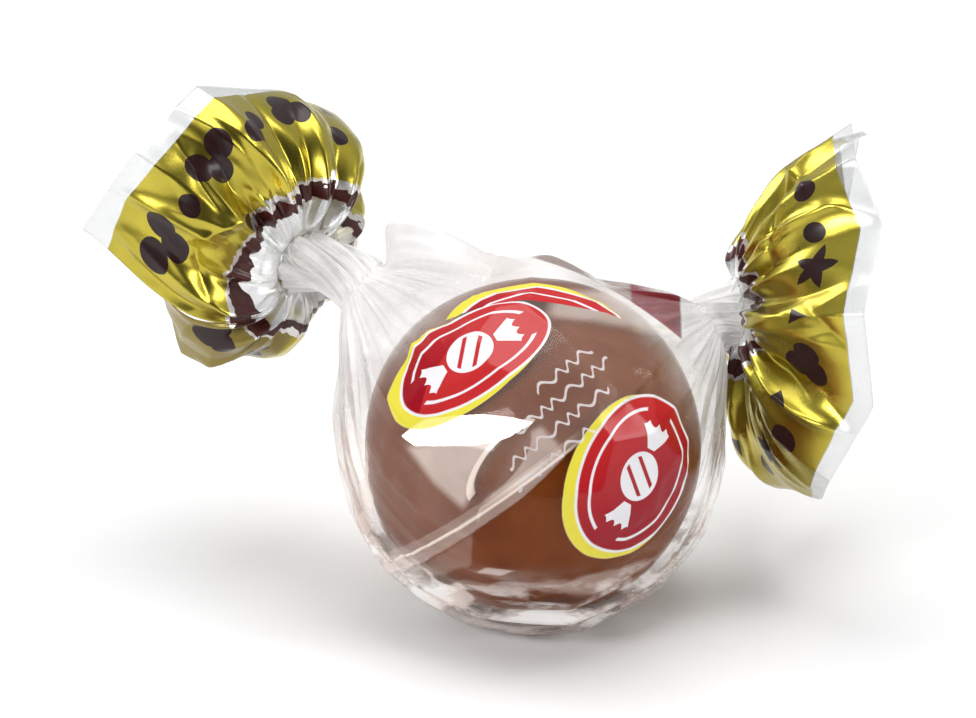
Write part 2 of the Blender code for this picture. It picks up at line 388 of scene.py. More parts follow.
def arc_creases(directions, arcs):
    """The sum of creases on a sphere of directions.  The distance to the great circle
    through a crease's two ends gives its ridge, and the angle from its middle fades it."""
    height = np.zeros(directions.shape[:2])
    for start, end, tall, width in arcs:
        middle, side = unit(start + end), unit(np.cross(start, end))
        half = 0.5 * np.arccos(np.clip(start @ end, -1.0, 1.0))
        off = FILM_RADIUS * np.arcsin(np.clip(directions @ side, -1.0, 1.0))
        onward = np.arctan2(directions @ np.cross(side, middle), directions @ middle)
        height += tall * ridge(off, width) * np.exp(-(np.abs(onward) / half) ** 5)
    return height


def scattered_arcs(count):
    """Short creases all over the ball, most of them pointing to one of the necks."""
    arcs = []
    for number in range(count):
        middle = unit(RANDOM.normal(size=3))
        pole = unit((RIGHT if number % 2 else LEFT)["neck_start"])
        heading = unit(np.cross(np.cross(middle, pole), middle))
        heading = unit(heading + RANDOM.normal(size=3) * (0.25 if number % 3 else 1.5))
        half = RANDOM.uniform(0.12, 0.42) * unit(np.cross(np.cross(middle, heading), middle))
        arcs.append((unit(middle - half), unit(middle + half),
                     RANDOM.uniform(0.02, 0.09) * MM, RANDOM.uniform(0.2, 0.5) * MM))
    return arcs


def flat_facets(directions):
    """Radius of a ball of flat facets, each square to its middle: the ball's radius over
    the largest cosine to a middle.  The middles are the shown ones, and shaken points of
    a golden spiral elsewhere."""
    shown = seen(*np.array(FRONT_FACETS).T)
    number = np.arange(SPARE_FACETS) + 0.5
    height, turn = 1 - 2 * number / SPARE_FACETS, np.pi * (3 - np.sqrt(5)) * number
    ring = np.sqrt(1 - height ** 2)
    spiral = np.stack([height, ring * np.cos(turn), ring * np.sin(turn)], axis=-1)
    spiral = unit(spiral + 0.07 * RANDOM.normal(size=spiral.shape))
    apart = (spiral @ shown.T).max(axis=1) < np.cos(FACET_GAP)
    nearest = (directions @ np.concatenate([shown, spiral[apart]]).T).max(axis=-1)
    return FILM_RADIUS / np.maximum(nearest, 0.9)


def rumpled_underside(along, around):
    """Height of the slack film under the ball: sharp waves in three sizes that wander."""
    wander = sum(np.sin(k * along + RANDOM.uniform(0, 6)) / k for k in (2.0, 5.0, 11.0))
    height = 0.0
    for count, tall, sway in UNDERSIDE_WAVES:
        wave = folded_wave(uneven_phase(count, around, 2.6) + sway * wander)
        height = height + tall * MM * (0.9 + wave)
    near, far = (share * hill(np.degrees(around), middle, width) for middle, width, share in UNDERSIDE)
    return height * np.maximum(near, far)


def lap_height(directions):
    """Metres along the ball past the great circle of the sheet's free edge."""
    start, stop = (seen(*point) for point in LAP_LINE)
    return FILM_RADIUS * np.arcsin(np.clip(directions @ unit(np.cross(start, stop)), -1.0, 1.0))


def film_over_ball(along, around):
    """The taut radius plus facets, pleats, folds and creases, by the angle along the tube
    and round it, on cones round an axis that swings from the right neck to the left."""
    right, left = unit(RIGHT["neck_start"]), unit(LEFT["neck_start"])
    swing = smooth(along, 0.0, np.pi)[:, None]
    axis = unit(right * (1 - swing) - left * swing)
    upward, sideways = across(axis)
    cosine, sine = np.cos(around)[None, :, None], np.sin(around)[None, :, None]
    direction = (np.sin(along)[:, None, None] * (cosine * upward[:, None] + sine * sideways[:, None])
                 + np.cos(along)[:, None, None] * axis[:, None])
    degrees, turn = np.degrees(along)[:, None], np.degrees(around)[None, :]
    inward = np.minimum(degrees - degrees[0], degrees[-1] - degrees)
    taut = smooth(inward, TAUT_FROM, TAUT_TO)
    radius = taut_radius(along)[:, None] + FLATNESS * (flat_facets(direction) - FILM_RADIUS) * taut
    lean = PLEAT_LEAN * (along[:, None] - np.pi / 2)
    for count, tall, reach in NECK_PLEATS:
        gathered = (1 - smooth(inward, 0.35 * reach, reach)) * smooth(inward, -4.0, 10.0)
        wave = folded_wave(uneven_phase(count, around[None, :], 2.2) + lean)
        radius += tall * MM * gathered * (0.35 + 0.65 * wave)
    for tall, middle, place, wide, long in LONG_FOLDS:
        crest = 0.5 * hill(turn, middle, wide) + 0.5 * ridge((turn - middle + 180) % 360 - 180, 0.6 * wide)
        radius += tall * MM * crest * hill(degrees, place, long) * smooth(inward, 0.0, 9.0)
    radius += rumpled_underside(along[:, None], around[None, :]) * smooth(inward, 6.0, 30.0)
    arcs = [(seen(a, b), seen(c, d), tall * MM, CREASE_WIDTH) for a, b, c, d, tall in FRONT_CREASES]
    radius += arc_creases(direction, arcs + scattered_arcs(SMALL_CREASES)) * smooth(inward, 0.0, 15.0)
    past = lap_height(direction) / MM
    radius += LAP_STEP * MM * smooth(past, -0.1, 0.1) * (1 - smooth(past, LAP_WIDTH, LAP_WIDTH + 0.2)) * taut
    return radius[..., None] * direction


def neck_film(end):
    """The twisted neck: rings on a path that bends from the shoulder's direction to the
    fan's, each a circle with sharp grooves that wind round the neck as it goes.  At the
    fan the rings turn in and shrink to a point, as a cone that winds on."""
    start, root, away = np.array(end["neck_start"]) * MM, np.array(end["root"]) * MM, unit(end["axis"])
    knee = start + 0.5 * np.linalg.norm(root - start) * unit(start)
    share = np.linspace(0.0, 1.0, NECK_ROWS + 1)[1:, None]
    centre = (1 - share) ** 2 * start + 2 * share * (1 - share) * knee + share ** 2 * root
    axis = unit(unit(start) * (1 - share) + away * share)
    azimuth = end["turn"] * ROUND + NECK_TWIST * share
    grooves = np.zeros_like(azimuth)
    for count, tall in NECK_GROOVES:
        grooves += tall * folded_wave(uneven_phase(count, ROUND[None, :], 1.5) + GROOVE_TWIST * share)
    waist = 1 - WAIST * np.sin(np.pi * share)
    deep = GROOVE_DEPTH * grooves * np.sin(np.pi * np.clip(share, 0.0, 0.95)) ** 0.4
    radius = NECK_RADIUS * waist * (1 + deep)
    closing = np.linspace(0.0, 1.0, FUNNEL_ROWS + 1)[1:, None]
    centre = np.concatenate([centre, root - closing * FUNNEL_DEPTH * away])
    axis = np.concatenate([axis, np.repeat(away[None], FUNNEL_ROWS, axis=0)])
    azimuth = np.concatenate([azimuth, azimuth[-1] + end["turn"] * FUNNEL_TWIST * closing])
    sharper = 1 + FUNNEL_PLEATS * grooves[-1] * np.sin(np.pi * closing)
    radius = np.concatenate([radius, radius[-1] * (1 - closing) * sharper + FUNNEL_TIP])
    upward, sideways = across(axis)
    return (centre[:, None] + (radius * np.cos(azimuth))[..., None] * upward[:, None]
            + (radius * np.sin(azimuth))[..., None] * sideways[:, None])


# The print on the ball: red ovals, each by its middle (a shown point, 1 on the near side
# and -1 on the far one), its tilt, half its length and width in mm, how far its yellow
# edge is set over along and across it, and the side of the fold line it is on (0 both)
OVALS = (
    (-4.1, 6.2, 1, 32, 5.3, 3.2, -0.62, -0.12, -1), (7.0, -1.9, 1, 61, 5.2, 4.2, -0.40, 0.38, 0),
    (0.6, 7.8, 1, -2, 5.9, 3.9, -0.45, 0.25, 1), (4.4, 4.6, -1, -44, 5.4, 4.0, -0.4, 0.3, 0),
    (-3.6, -3.2, -1, 35, 5.4, 4.0, -0.4, 0.3, 0),
)
FOLD_LINE = ((-3.8, 8.9), (5.2, 8.4))
HALF_WAY = 2.0  # mm beyond the ball's middle, from which a print shows
PRINT_END = (14.4, 13.6)  # mm from the ball's middle, where the ovals stop
OVAL_LINE = 0.17  # pale line round the red
OVAL_EDGE = 0.20  # the yellow oval is this much larger
SOFT_LINE, SOFT_OVAL = 0.03, 0.02  # how soft the print's edges are

# The sign in an oval, in mm: a striped round sweet, its two flared ends, and two arcs
SWEET = (1.65, 1.5)
STRIPED = (1.35, 1.25)
STRIPE_AT, STRIPE_HALF = 0.55, 0.15
FLARE_FROM, FLARE, END_FROM, END_TO = 1.4, 0.62, 1.9, 3.6
SCALLOP_TURNS, SCALLOP_DEPTH = 4.2, 0.35
ARC_INSET, ARC_HALF, ARC_GAP = 0.75, 0.10, 1.0

# Wavy lines: height of each row and where it starts and stops, and the rows' own place
WAVE_ROWS = ((2.2, -0.4, 4.4), (0.9, -3.4, 5.0), (-0.5, -4.8, 3.6), (-1.9, -5.2, 1.0))
WAVE_MIDDLE = (1.9, 2.2, 1, 39)
WAVE_LENGTH, WAVE_HEIGHT, WAVE_HALF, WAVE_STRENGTH = 1.15, 0.26, 0.11, 0.7

# Flat panels of the film: how milky each is, a white that is partly milky film and partly
# painted sheen and highlight, how strongly it shines, how soft its edges are in mm, the
# shown point whose direction it faces (None: its own), and its corners
PANELS = (
    (0.10, 0.35, 0.14, (-3.9, 0.95),
     ((-8.5, 0.7), (-7.6, 0.0), (-4.0, 0.12), (-1.6, 0.6), (0.2, 1.65), (-3.2, 2.15), (-7.0, 1.9))),
    (0.42, 0.0, 0.5, None, ((-8.3, 0.1), (-4.45, -4.1), (-1.6, 0.9))),
    (0.30, 0.0, 0.4, None, ((-3.4, -3.9), (-0.6, -2.4), (1.9, 0.1), (0.5, 1.5), (-0.8, 0.7))),
    (0.26, 0.0, 0.12, None, ((-9.6, -7.4), (-8.6, -7.75), (-3.6, -5.3), (-3.3, -4.0))),
    (0.28, 0.0, 0.12, None, ((-3.6, -5.3), (-0.8, -3.4), (2.1, -0.6), (1.8, 0.0), (-3.5, -3.9))),
    (0.10, 0.0, 0.2, None, ((-8.4, -7.9), (-3.9, -7.6), (-3.8, -5.4))),
    (0.30, 0.0, 0.8, None, ((4.4, 7.8), (9.0, 6.4), (6.9, 9.3), (1.2, 10.0), (0.8, 8.3))),
    (0.10, 0.0, 0.2, None, ((-11.4, 1.5), (-11.2, -4.5), (-10.1, -7.4), (-10.0, 1.2))),
    (0.34, 0.0, 0.1, None, ((-10.35, 1.0), (-10.5, -4.5), (-10.1, -7.3), (-9.75, -7.3), (-10.0, -4.0))),
    (0.40, 0.0, 0.14, None, ((-8.6, -7.75), (-2.0, -8.3), (3.6, -8.2), (3.0, -7.75), (-3.0, -7.7))),
    (0.45, 0.0, 0.3, None, ((-7.9, -8.6), (-5.8, -10.0), (-3.6, -9.9), (-4.6, -8.5))),
    (0.22, 0.0, 0.3, None, ((0.2, -8.9), (3.4, -9.2), (7.4, -7.7), (7.9, -7.0), (3.2, -8.1))),
    (0.28, 0.0, 0.2, None, ((-3.4, -10.5), (2.0, -10.9), (5.4, -9.9), (1.8, -10.1))),
)
DIMPLE = (-2.0, -0.95, 1, 50)  # where a puff of air keeps the film off the candy
DIMPLE_HALF = (2.9, 1.15)
DIMPLE_RIM = 0.16  # half the width of its pale rim, a painted highlight
GATHER_COSINE = (0.64, 0.95)  # to a neck's direction: where the film turns white
SLACK_HEIGHT = (8.6 * MM, 4.0 * MM)  # above the floor, below which the film is slack
# The red ink, and a lighter copy of it that paints light on one side of each oval
CRIMSON = (0.31, 0.003, 0.012)
SCARLET_PAINTED_LIGHT = (0.50, 0.022, 0.024)
MAROON = (0.22, 0.020, 0.035)
LIMB_BROWN = (0.30, 0.20, 0.16)  # brown on a band along the top of the ball's outline
LEMON = (0.76, 0.67, 0.060)
WHITE_INK = (0.80, 0.78, 0.81)
FROST_GREY = (0.88, 0.87, 0.86)
WARM_HAZE = (0.90, 0.76, 0.68)  # milky film on brown sugar, and the colour of the panels' painted sheen


class BallFilm(Finish):
    """The nodes of the film over the ball, with its distance from the ball's middle, and
    how near, right and above the photograph shows it, in mm."""

    def __init__(self, owner):
        super().__init__(owner)
        self.here = self.place()
        self.from_ball = self.vector("SUBTRACT", self.here, tuple(CENTRE))
        self.far_out = self.vector("LENGTH", self.from_ball, output=1) / MM
        self.direction = self.vector("NORMALIZE", self.from_ball)
        self.near, self.right, self.above = (self.dot(self.from_ball, way) / MM for way in view_axes())

    def along(self, way):
        """mm round the ball in a direction."""
        return self.dot(self.direction, way) * (FILM_RADIUS / MM)

    def past(self, start, stop):
        """mm beside the great circle from one shown point to another."""
        return self.along(unit(np.cross(seen(*start), seen(*stop))))

    def print_place(self, right, above, side, tilt):
        """mm along a print and across it, and 1 on its own half of the ball.  Its long way
        lies at the tilt in the photograph's plane, laid square to its middle."""
        middle, tilt = seen(right, above), np.radians(tilt)
        towards, rightward, upright = view_axes()
        if side < 0:
            middle = middle - 2 * (middle @ towards) * towards
        slant = np.cos(tilt) * rightward + np.sin(tilt) * upright
        long = unit(slant - (slant @ middle) * middle)
        return self.along(long), self.along(np.cross(middle, long)), self.along(middle) > HALF_WAY


def ellipse(x, y, half_long, half_wide):
    """0 in the middle of an ellipse, 1 on it, and as the distance's square elsewhere."""
    return (x / half_long) ** 2 + (y / half_wide) ** 2


def oval(x, y, half_long, half_wide):
    """1 inside an ellipse and 0 outside it."""
    return ellipse(x, y, half_long, half_wide).step(1 + SOFT_OVAL, 1 - SOFT_OVAL)


def stroke(distance, half):
    """1 along a thin line."""
    return abs(distance).step(half + SOFT_LINE, half - SOFT_LINE)


def sweet_sign(x, y, long, wide):
    """1 on a plain drawing of a wrapped sweet: a round body less its two stripes, ends
    that flare from a point and are cut off in scallops, and an arc above and below."""
    slant = x * 0.8 - y * 0.6
    stripes = stroke(abs(slant) - STRIPE_AT, STRIPE_HALF) * oval(x, y, *STRIPED)
    body = oval(x, y, *SWEET) - stripes
    out = abs(x)
    scallop = abs((y * SCALLOP_TURNS).sine()) * SCALLOP_DEPTH
    ends = (abs(y) < (out - FLARE_FROM) * FLARE) * (out < END_TO - scallop) * (out > END_FROM)
    ring = ellipse(x, y, long - ARC_INSET, wide - ARC_INSET) ** 0.5
    arcs = stroke((ring - 1) * wide, ARC_HALF) * (abs(y) > ARC_GAP)
    return (body + ends + arcs).smaller(1.0)


def ball_print(film):
    """Where the print is red, pale, yellow and white, and where painted light makes its red
    brighter towards one side of each oval.  The white is the sign in each oval and the wavy
    lines between the ovals."""
    above_fold = film.past(*FOLD_LINE)
    red, pale, yellow, white, painted_light_on_red = 0.0, 0.0, 0.0, 0.0, 0.0
    rim = OVAL_LINE + OVAL_EDGE
    for right, above, side, tilt, long, wide, onward, sideways, half in OVALS:
        x, y, shown = film.print_place(right, above, side, tilt)
        shown = shown * film.far_out.step(*PRINT_END)
        if half:
            shown = shown * (above_fold * half > 0.0)
        red = oval(x, y, long, wide) * shown + red
        pale = oval(x, y, long + OVAL_LINE, wide + OVAL_LINE) * shown + pale
        yellow = oval(x - onward, y - sideways, long + rim, wide + rim) * shown + yellow
        white = sweet_sign(x, y, long, wide) * shown + white
        # Painted light: each oval's red grows lighter towards one side
        painted_light_on_red = (y * 0.8 + x * 0.5).step(-2.5, 4.5) * shown + painted_light_on_red
    x, y, shown = film.print_place(*WAVE_MIDDLE)
    for row, start, stop in WAVE_ROWS:
        uneven = (x * 1.7 + row).sine() * 1.2
        swing = (x * (2 * np.pi / WAVE_LENGTH) + uneven).sine() * WAVE_HEIGHT
        line = stroke(y - row - swing, WAVE_HALF) * (x > start) * (x < stop) * shown
        white = line * WAVE_STRENGTH + white
    return (mask.smaller(1.0) for mask in (red, pale, yellow, white, painted_light_on_red))


def film_panels(film):
    """How milky and how shiny the flat panels and the dimple make the film, and the way
    that it faces.  The milky white of the panels is partly painted sheen, and the dimple's
    pale rim is a painted highlight."""
    x, y, viewed = film.print_place(*DIMPLE)
    dimple = ellipse(x, y, *DIMPLE_HALF) ** 0.5
    # Painted highlight: a pale line along the dimple's upper rim
    rim_light = stroke((dimple - 1.05) * DIMPLE_HALF[1], DIMPLE_RIM) * (y > 0.1) * viewed
    milky_and_sheen, shine, faced = rim_light * 0.5, 0.0, film.add("ShaderNodeNewGeometry", output=1)
    for milk_and_sheen, gloss, soft, faces, corners in PANELS:
        inside = 1.0
        for start, stop in zip(corners, corners[1:] + corners[:1]):
            inside = film.past(start, stop).step(-0.5 * soft, soft) * inside
        milky_and_sheen = inside * milk_and_sheen + milky_and_sheen
        shine = inside * gloss + shine
        if faces:
            turned = {0: inside, 4: faced, 5: tuple(seen(*faces))}
            faced = film.add("ShaderNodeMix", {"data_type": "VECTOR"}, turned, output=1)
    return milky_and_sheen * (1 - dimple.step(1.0, 0.85) * viewed * 0.85), shine, faced


def lapped_film(film):
    """1 where the sheet lies double, past its free edge and at the upper right, and the
    pale line of that edge, a painted highlight."""
    past = film.past(*LAP_LINE)
    lap = past.step(-0.05, 0.05) * past.step(LAP_WIDTH + 0.1, LAP_WIDTH)
    lap = lap.larger(film.right.step(5.5, 8.5) * film.above.step(-2.0, 2.0))
    # Painted highlight: a pale line on the free edge and a fainter band beside it
    edge = stroke(past, 0.10) * 0.4 + stroke(past - 0.32, 0.34) * 0.14
    return lap, edge * film.far_out.step(12.7, 12.3) * film.right.step(3.6, 2.0)


def limb_bands(film):
    """1 on a brown band along the ball's top, and 1 on its red part: above a parabola across
    the photograph, on the near side."""
    crest = film.above - (12.5 - film.right * 0.25 - film.right * film.right * 0.03)
    limb = (crest.step(-0.05, 0.1) * film.right.step(-0.9, 0.6) * film.right.step(10.0, 9.8)
            * film.near.step(-2.0, -1.0))
    return limb, limb * film.right.step(6.4, 6.7)


def clear_printed_film():
    """Thin clear film: a weak mirror that strengthens at a glancing angle, and grey-white
    where it is gathered or slack.  Over it lie the print, the lap with a painted highlight
    along its edge, and the milky panels, whose white is partly painted sheen.  The white on
    the creases is partly frosted film and partly painted highlight."""
    film = BallFilm(bpy.data.materials.new("clear_printed_film"))
    red, pale, yellow, white, painted_light_on_red = ball_print(film)
    ink = red.larger(pale).larger(yellow).larger(white)
    milky_and_sheen, shine, faced = film_panels(film)
    lap, edge = lapped_film(film)
    limb, limb_red = limb_bands(film)

    crinkle = film.noise(film.here, scale=330.0, detail=5.0, roughness=0.62, ridged=True)
    cloud = film.noise(film.here, scale=240.0, detail=4.0)
    level = film.stretched(film.here, (0.0, 0.25, 0.15), (0.28, 1.0, 1.0))
    streaks = film.noise(level, scale=620.0, detail=4.0, roughness=0.6)
    gathered = 0.0
    for end in (LEFT, RIGHT):
        gathered = film.dot(film.direction, unit(end["neck_start"])).step(*GATHER_COSINE) + gathered
    gathered = gathered.smaller(1.0).larger(film.far_out.step(12.6, 14.6))
    under = film.part(film.here, 2).step(*SLACK_HEIGHT)
    leftward = film.part(film.here, 0).step(-2.0 * MM, -8.0 * MM)
    slack = under * (streaks.step(0.44, 0.66) * 0.9 + leftward * 0.35)
    # White on the crinkle's creases: partly frosted film, partly painted highlight along the creases
    creased, sharp_crease = crinkle.step(0.85, 1.7), crinkle.step(1.45, 2.0)
    twisted = film.far_out.step(14.8, 16.4)

    sheen = film.glance(0.34) ** 2.8 * 0.46 + 0.012 + shine
    # Painted sheen: the milky panels add white where the film would catch the light
    haze_and_painted_sheen = lap * (cloud * 0.12 + 0.03) + edge + milky_and_sheen * (cloud * 0.6 + 0.7) + slack * 0.85
    haze_and_painted_sheen = haze_and_painted_sheen + gathered * (cloud * 0.5 + 0.05) + creased * (gathered * 0.4 + 0.04 + under * 0.25)
    haze_and_painted_sheen = haze_and_painted_sheen + sharp_crease * 0.28 + twisted * 0.30
    cover = (sheen + haze_and_painted_sheen).smaller(0.92).larger(ink * 0.97).larger(limb * 0.6 + limb_red * 0.25)
    colour = film.mix(gathered.larger(slack), WARM_HAZE, FROST_GREY)
    for mask, ink_colour in ((yellow, LEMON), (pale, WHITE_INK), (red, film.mix(painted_light_on_red, CRIMSON, SCARLET_PAINTED_LIGHT)),
                             (limb, LIMB_BROWN), (limb_red, MAROON), (white, WHITE_INK)):
        colour = film.mix(mask, colour, ink_colour)
    shader = film.principled(
        Base_Color=colour, Metallic=(1 - ink) * sheen / (sheen + haze_and_painted_sheen),
        Roughness=cloud * 0.10 + ink * 0.08 + 0.06,
        Specular_IOR_Level=0.18, Coat_Weight=ink * 0.15, Coat_Roughness=0.10,
        Normal=film.bump(crinkle * 0.5 + cloud, distance=0.09 * MM, strength=0.45, normal=faced))
    return film.end(film.over_clear(cover, shader))


first = np.arctan2(NECK_RADIUS / MM, np.linalg.norm(RIGHT["neck_start"]))
last = np.pi - np.arctan2(NECK_RADIUS / MM, np.linalg.norm(LEFT["neck_start"]))
body = film_over_ball(np.linspace(first, last, BODY_ROWS), ROUND)
tube = np.concatenate([neck_film(RIGHT)[::-1], body, neck_film(LEFT)]) + CENTRE
tube[..., 2] = np.maximum(tube[..., 2], FLOOR_GAP)
film_tube = piece_from_grid("clear_film", tube, capped=True)
film_tube.data.materials.append(clear_printed_film())
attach(film_tube, "root")
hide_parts("wrapped_candy")

# ------------------------------
# The fans: beyond each neck the same tube of film stands open.  It is printed gold with
# dark dots and stars between a brown line at the neck and a clear margin at the cut edge.
# ------------------------------

FAN_LENGTH = 14.0 * MM
FAN_ROWS, FAN_COLUMNS = 110, 420
SHEET_THICKNESS = 0.06 * MM
CREASE_ROUNDING = 0.12  # 0 flat panels between the ribs, 1 a smooth curve
LAYER_GAP = 0.12 * MM  # between the two layers where the sheet laps
MARGIN = 12.5  # mm from the neck to where the gold stops
GOLD_FROM, SILVER_FROM, BROWN_FROM = 4.5, 4.1, 2.9
LINE_SWAY = 2.0  # mm by which the print's lines wander
FAN_SMALL_CREASES = 110
FILM_WHITE = (0.93, 0.94, 0.94)
SILVER = (0.72, 0.69, 0.67)
BROWN_LINE = (0.060, 0.013, 0.010)
MARGIN_GREY = (0.66, 0.67, 0.67)
GOLD = (0.55, 0.455, 0.060)
GOLD_BACK = (0.262, 0.2, 0.05)
# The two sides of the film: gold, dark print, how metallic and how rough
OUTSIDE = (GOLD, (0.020, 0.006, 0.006), 1.0, 0.22)
INSIDE = (GOLD_BACK, (0.12, 0.07, 0.062), 0.45, 0.32)

# Pleats out of the neck: number round the film, height in mm, where they have died away
FAN_PLEATS = ((10, 0.50, 1.0), (19, 0.36, 0.8), (41, 0.18, 0.5))

# The dark print of each fan: dots, stars and triangles by their place on the flat film,
# mm round it from its free edge and mm from the neck, and their size in mm
LEFT_MOTIFS = (
    ((44.7, 10.2, 1.05), (47.1, 10.1, 1.05), (45.9, 8.9, 1.05), (49.9, 9.1, 0.8),
     (52.9, 9.8, 1.05), (55.2, 9.4, 1.05), (53.5, 8.4, 1.05), (41.6, 9.1, 0.9), (40.4, 9.9, 0.8),
     (35.2, 9.4, 0.95), (36.6, 9.7, 0.95), (35.9, 10.8, 0.95), (31.0, 8.0, 0.8), (22.4, 9.0, 0.8),
     (15.3, 9.6, 1.0), (16.8, 9.2, 1.0), (15.9, 8.2, 1.0), (10.2, 9.8, 0.8),
     (2.0, 6.4, 1.0), (3.5, 6.8, 1.0), (2.6, 7.8, 1.0)),
    ((27.0, 9.4, 1.6), (7.6, 7.6, 1.6)),
    ((19.2, 7.2, 1.0), (30.2, 10.8, 0.9)),
)
RIGHT_MOTIFS = (
    ((4.5, 9.9, 0.85), (8.2, 9.4, 0.85), (19.4, 8.9, 1.15), (21.0, 9.4, 1.1), (20.6, 7.9, 1.15),
     (28.2, 9.3, 1.1), (29.8, 7.6, 0.9), (37.4, 9.2, 0.8), (46.0, 9.4, 1.0), (47.6, 9.2, 1.0),
     (46.7, 8.0, 1.0), (55.0, 8.6, 0.8), (66.5, 9.4, 1.0), (68.1, 9.1, 1.0), (67.2, 8.0, 1.0)),
    ((11.3, 9.4, 1.9), (33.0, 8.4, 1.7), (60.6, 8.8, 1.7)),
    ((15.7, 8.5, 1.1), (24.9, 7.9, 1.0), (41.6, 8.0, 1.0), (51.0, 9.9, 0.9)),
)

# The largest creases: middle in mm round the film and from the neck, its turn in degrees
# (90 straight away from the neck), half its length, its height and its width in mm
LEFT_CREASES = (
    (49.5, 6.8, 62, 3.6, 0.55, 0.9), (46.4, 7.2, 118, 3.4, -0.45, 0.8), (42.6, 8.0, 78, 4.2, 0.50, 0.8),
    (38.6, 8.4, 98, 3.8, -0.55, 0.7), (53.8, 7.0, 100, 3.2, 0.35, 0.8), (34.2, 7.4, 84, 3.4, 0.40, 0.8),
    (51.6, 8.8, 74, 4.4, 0.60, 0.8), (47.8, 9.6, 116, 3.6, -0.50, 0.7), (56.4, 8.0, 96, 4.2, 0.55, 0.8),
    (49.4, 6.4, 28, 3.0, 0.45, 0.6), (54.2, 6.2, 152, 3.0, -0.45, 0.6), (58.8, 9.0, 80, 4.0, -0.50, 0.8),
)
RIGHT_CREASES = (
    (6.5, 8.0, 84, 3.6, 0.55, 0.6), (13.6, 8.2, 96, 3.4, -0.40, 0.8), (17.6, 8.0, 80, 3.8, 0.35, 0.9),
    (24.9, 8.6, 92, 4.4, 0.75, 0.6), (22.6, 7.0, 70, 2.6, -0.40, 0.8), (31.4, 8.4, 88, 3.6, 0.40, 0.8),
)

# The ribs of each fan from one free edge of the sheet to the other: azimuth round the
# neck at the neck and at the rim (0 up, 90 to the viewer's side on the right fan and away
# on the left), angle to the fan's axis at the neck and at the rim, share of the length
# that is not folded in, and how late the rib bends (1 evenly, more nearer the rim)
LEFT_RIBS = (
    (221, 230, 82, -40, 0.84, 1), (198, 197, 93, -4, 0.88, 1), (168, 168, 102, -20, 0.96, 1),
    (138, 138, 102, -28, 1.0, 1), (112, 112, 98, -34, 1.0, 1), (82, 82, 104, -28, 1.0, 1),
    (52, 52, 116, -26, 1.0, 1), (22, 24, 114, -26, 1.0, 1), (-20, -19, 108, 12, 1.0, 1),
    (-60, -48, 96, 36, 1.0, 1), (-108, -61, 96, 8, 1.0, 1), (-150, -79, 90, -8, 1.07, 1),
)
RIGHT_RIBS = (
    (0, 2, 78, 30, 1.0, 1), (18, 20, 86, 26, 1.0, 1), (42, 42, 86, 12, 1.0, 1), (70, 70, 97, 26, 1.0, 1),
    (97, 97, 87, 36, 1.0, 1), (122, 120, 98, 44, 0.98, 1.3), (150, 149, 95, 14, 0.94, 2.3),
    (182, 178, 104, -8, 0.94, 2.6), (218, 216, 94, -8, 0.88, 1.6), (257, 257, 92, -28, 0.84, 1),
    (294, 294, 88, -20, 0.9, 1), (332, 334, 82, 4, 1.0, 1), (358, 352, 74, 14, 0.98, 1),
)

# Each fan: its end, ribs, creases and dark print, by how many mm its lines come early,
# and the mm round it, from the free edge, that are given the dull back colour
NO_DULL_BAND = -1.0
FANS = (
    ("left_gold_fan", LEFT, LEFT_RIBS, LEFT_CREASES, LEFT_MOTIFS, 0.0, 9.5),
    ("right_gold_fan", RIGHT, RIGHT_RIBS, RIGHT_CREASES, RIGHT_MOTIFS, 1.3, NO_DULL_BAND),
)


def fan_panels(end, ribs):
    """A fan without its pleats, and the mm round the film and share of its length of each
    column.  A rib adds up short steps: its angle to the axis changes as a power of the
    share, and its azimuth as a sine.  Columns lie on straight lines between two ribs,
    mixed with a curve through four."""
    share = np.linspace(0.0, 1.0, FAN_ROWS)
    starts, swings, flare, tip, length, late = np.array(ribs, float).T[..., None]
    azimuth = np.radians(starts + (swings - starts) * np.sin(0.5 * np.pi * share))
    angle = np.radians(flare + (tip - flare) * (0.5 * (share[1:] + share[:-1])) ** late)
    step = length * FAN_LENGTH / (FAN_ROWS - 1)
    far = np.pad(np.cumsum(step * np.cos(angle), axis=1), ((0, 0), (1, 0)))
    out = np.pad(np.cumsum(step * np.sin(angle), axis=1), ((0, 0), (1, 0))) + NECK_RADIUS
    out = out + LAYER_GAP * np.linspace(-1.0, 1.0, len(ribs))[:, None]
    axis = unit(end["axis"])
    upward, sideways = across(axis)
    outward = np.cos(azimuth)[..., None] * upward + np.sin(azimuth)[..., None] * sideways
    lines = np.array(end["root"]) * MM + far[..., None] * axis + out[..., None] * outward
    place = np.concatenate([[0.0], np.cumsum(np.linalg.norm(np.diff(lines[:, -1], axis=0), axis=1))])
    at = np.linspace(0.0, place[-1], FAN_COLUMNS)
    before = np.clip(np.searchsorted(place, at, side="right") - 1, 0, len(ribs) - 2)
    t = ((at - place[before]) / (place[before + 1] - place[before]))[:, None, None]
    a, b, c, d = (lines[np.clip(before + shift, 0, len(ribs) - 1)] for shift in (-1, 0, 1, 2))
    flat = b + (c - b) * t
    curved = b + 0.5 * t * (c - a + t * (2 * a - 5 * b + 4 * c - d + t * (3 * (b - c) + d - a)))
    sheet = (flat + CREASE_ROUNDING * (curved - flat)).transpose(1, 0, 2)
    return sheet, at / MM, np.interp(at, place, length[:, 0])


def sheet_normal(sheet, turn):
    """Outward directions of a sheet given as an array (row, column, xyz)."""
    down, sideways = np.gradient(sheet, axis=0), np.gradient(sheet, axis=1)
    return unit(np.cross(sideways, down) * turn)


